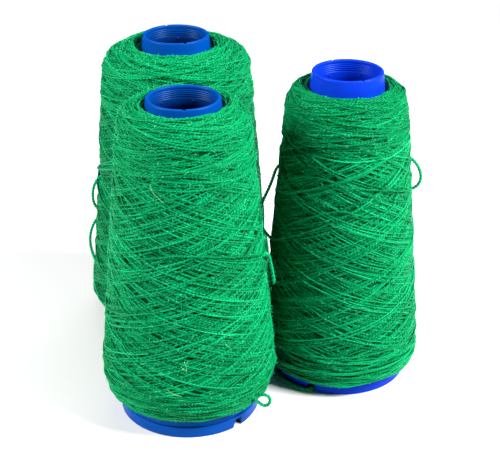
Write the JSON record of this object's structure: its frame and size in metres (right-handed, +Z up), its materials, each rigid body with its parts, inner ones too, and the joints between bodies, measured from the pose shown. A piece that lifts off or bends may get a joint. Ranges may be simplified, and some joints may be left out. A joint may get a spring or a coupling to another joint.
{
  "type": "yarn cone set",
  "caption": "Standing set of yarn cones for a knitting machine: hollow tapered plastic cores, each with a cross-wound conical package of green yarn and a few loose ends.",
  "frame": {"origin": "on the ground, at the middle of the outline of the three windings", "axes": "+Z up along the cones' axes, +X to the right of the set, +Y from the front cone towards the rear one"},
  "size_m": [0.1868, 0.1996, 0.17],
  "materials": {
    "blue_core": "glossy moulded plastic, mid blue",
    "violet_core": "glossy moulded plastic, violet-tinted royal blue",
    "green_winding": "spun two-ply yarn, cross wound, matt with soft fuzz",
    "loose_yarn": "spun two-ply yarn, matt with soft fuzz"
  },
  "bodies": {
    "front_cone": {"front_core": "blue_core", "front_package": "green_winding", "front_tail": "loose_yarn", "front_base_loop": "loose_yarn"},
    "right_cone": {"right_core": "violet_core", "right_package": "green_winding", "right_outer_loop": "loose_yarn", "right_inner_loop": "loose_yarn", "right_base_tail": "loose_yarn"},
    "rear_cone": {"rear_core": "blue_core", "rear_package": "green_winding", "rear_upper_loop": "loose_yarn", "rear_lower_loop": "loose_yarn"}
  },
  "joints": [
    {"name": "right_cone_lift", "type": "slide", "parent": "front_cone", "child": "right_cone", "axis": [0, 0, 1], "range_m": [0, 0.2]},
    {"name": "rear_cone_lift", "type": "slide", "parent": "front_cone", "child": "rear_cone", "axis": [0, 0, 1], "range_m": [0, 0.2]}
  ]
}
